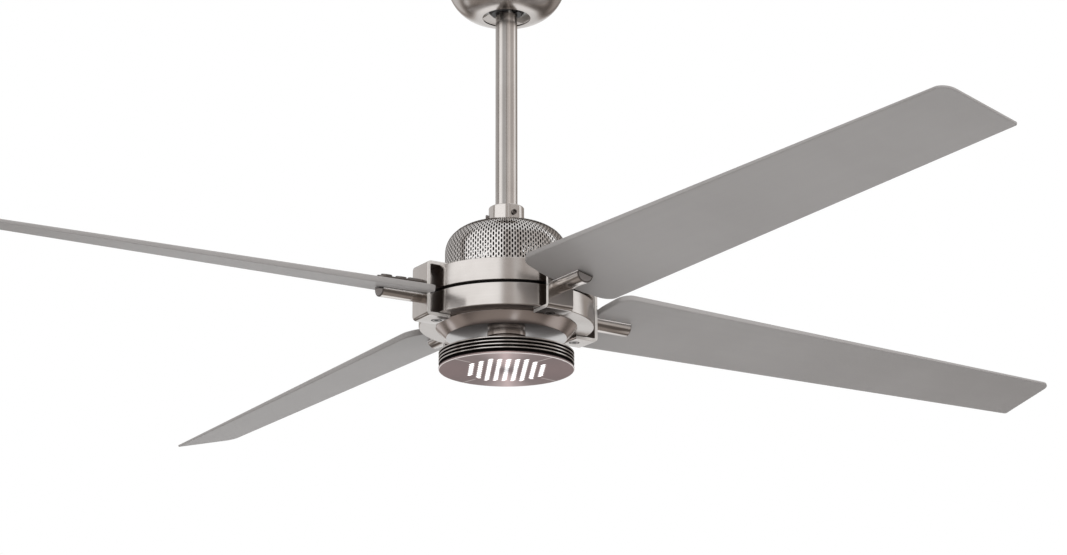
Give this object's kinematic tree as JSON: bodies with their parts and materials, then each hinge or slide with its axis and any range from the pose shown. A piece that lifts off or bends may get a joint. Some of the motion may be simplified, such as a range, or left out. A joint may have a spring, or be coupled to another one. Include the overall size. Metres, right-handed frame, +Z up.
{
  "type": "ceiling fan",
  "caption": "Ceiling fan with long flat tapered blades in C-shaped arms, a banded motor drum under a perforated domed cage, a finned round light, and a downrod on a ball under a canopy.",
  "frame": {"origin": "centre of the hanger bracket's upper face, where it meets the ceiling", "axes": "+Z up out of the bracket into the ceiling; the blades lie along X and Y at rest; the two box screws lie along X"},
  "size_m": [1.5238, 1.5238, 0.479],
  "materials": {
    "bracket_zinc": "zinc-plated pressed steel",
    "canopy_nickel": "brushed nickel",
    "screw_nickel": "bright nickel screw",
    "pin_steel": "bright steel",
    "ball_plastic": "black moulded plastic",
    "rod_nickel": "polished nickel",
    "coupling_steel": "turned steel",
    "collar_nickel": "satin nickel",
    "cage_nickel": "polished nickel, perforated",
    "base_steel": "black",
    "driver_plastic": "black moulded plastic",
    "shaft_steel": "turned steel",
    "stator_steel": "stacked laminations",
    "winding_copper": "enamelled copper wire",
    "drum_nickel": "brushed nickel on cast aluminium",
    "ring_steel": "black steel",
    "magnet_black": "sintered magnet",
    "bearing_steel": "ground steel",
    "boss_nickel": "polished nickel on cast aluminium",
    "neck_steel": "dark nickel",
    "light_nickel": "brushed nickel on aluminium",
    "board_white": "white circuit board",
    "lens_white": "white diffuser",
    "face_nickel": "brushed nickel on aluminium",
    "arm_nickel": "brushed nickel",
    "clamp_nickel": "brushed nickel",
    "bolt_nickel": "nickel",
    "blade_silver": "silver painted moulding"
  },
  "bodies": {
    "ceiling_mount": {"hanger_bracket": "bracket_zinc", "canopy": "canopy_nickel", "canopy_screw_1": "screw_nickel", "canopy_screw_2": "screw_nickel"},
    "hanger_pin": {"hanger_pin": "pin_steel"},
    "downrod": {"hanger_ball": "ball_plastic", "downrod": "rod_nickel", "coupling": "coupling_steel", "rod_pin": "pin_steel", "collar": "collar_nickel", "collar_screw_1": "screw_nickel", "collar_screw_2": "screw_nickel", "collar_screw_3": "screw_nickel", "cage": "cage_nickel", "cage_base": "base_steel", "driver_box": "driver_plastic", "motor_shaft": "shaft_steel", "stator_core": "stator_steel", "stator_winding": "winding_copper", "light_neck": "neck_steel", "light_body": "light_nickel", "led_board": "board_white", "led_lens": "lens_white", "light_face": "face_nickel"},
    "rotor": {"upper_motor_cover": "drum_nickel", "lower_motor_cover": "drum_nickel", "rotor_ring": "ring_steel", "magnet_ring": "magnet_black", "upper_bearing": "bearing_steel", "lower_bearing": "bearing_steel", "hub_boss": "boss_nickel", "blade_bracket_1": "arm_nickel", "top_clamp_1": "clamp_nickel", "blade_1": "blade_silver", "clamp_bolt_1a": "bolt_nickel", "clamp_bolt_1b": "bolt_nickel", "bracket_screw_top_1": "screw_nickel", "bracket_screw_bottom_1": "screw_nickel", "blade_bracket_2": "arm_nickel", "top_clamp_2": "clamp_nickel", "blade_2": "blade_silver", "clamp_bolt_2a": "bolt_nickel", "clamp_bolt_2b": "bolt_nickel", "bracket_screw_top_2": "screw_nickel", "bracket_screw_bottom_2": "screw_nickel", "blade_bracket_3": "arm_nickel", "top_clamp_3": "clamp_nickel", "blade_3": "blade_silver", "clamp_bolt_3a": "bolt_nickel", "clamp_bolt_3b": "bolt_nickel", "bracket_screw_top_3": "screw_nickel", "bracket_screw_bottom_3": "screw_nickel", "blade_bracket_4": "arm_nickel", "top_clamp_4": "clamp_nickel", "blade_4": "blade_silver", "clamp_bolt_4a": "bolt_nickel", "clamp_bolt_4b": "bolt_nickel", "bracket_screw_top_4": "screw_nickel", "bracket_screw_bottom_4": "screw_nickel"}
  },
  "joints": [
    {"name": "ball_roll", "type": "hinge", "parent": "ceiling_mount", "child": "hanger_pin", "pos_m": [0, 0, -0.046], "axis": [1, 0, 0], "range_deg": [-15, 15]},
    {"name": "rod_pitch", "type": "hinge", "parent": "hanger_pin", "child": "downrod", "pos_m": [0, 0, -0.046], "axis": [0, 1, 0], "range_deg": [-15, 15]},
    {"name": "rotor_spin", "type": "hinge", "parent": "downrod", "child": "rotor", "pos_m": [0, 0, -0.4035], "axis": [0, 0, 1], "continuous": true}
  ]
}
